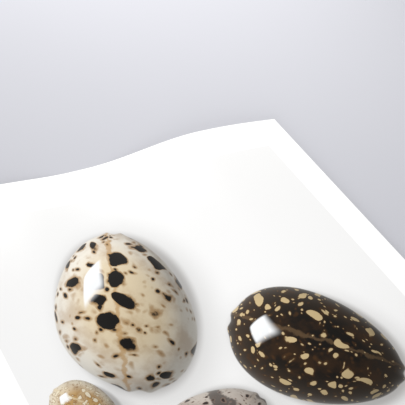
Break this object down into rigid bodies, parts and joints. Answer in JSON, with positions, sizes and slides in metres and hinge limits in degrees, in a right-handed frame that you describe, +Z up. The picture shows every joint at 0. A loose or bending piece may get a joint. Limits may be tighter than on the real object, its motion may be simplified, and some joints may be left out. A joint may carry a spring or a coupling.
{
  "type": "art print",
  "caption": "Unframed art print: a thin rectangular sheet of heavy satin photo paper with a white border, lying in a low wave, with its top right corner a little off the surface.",
  "frame": {"origin": "on the surface that the print lies on, below the middle of the sheet", "axes": "+Z up, out of the printed face; +Y along the sheet's long side, towards the top of the picture; +X across it, to the right of a reader"},
  "size_m": [0.2783, 0.3556, 0.0103],
  "materials": {
    "photo_paper": "satin"
  },
  "bodies": {
    "root": {"print_sheet": "photo_paper"}
  },
  "joints": []
}
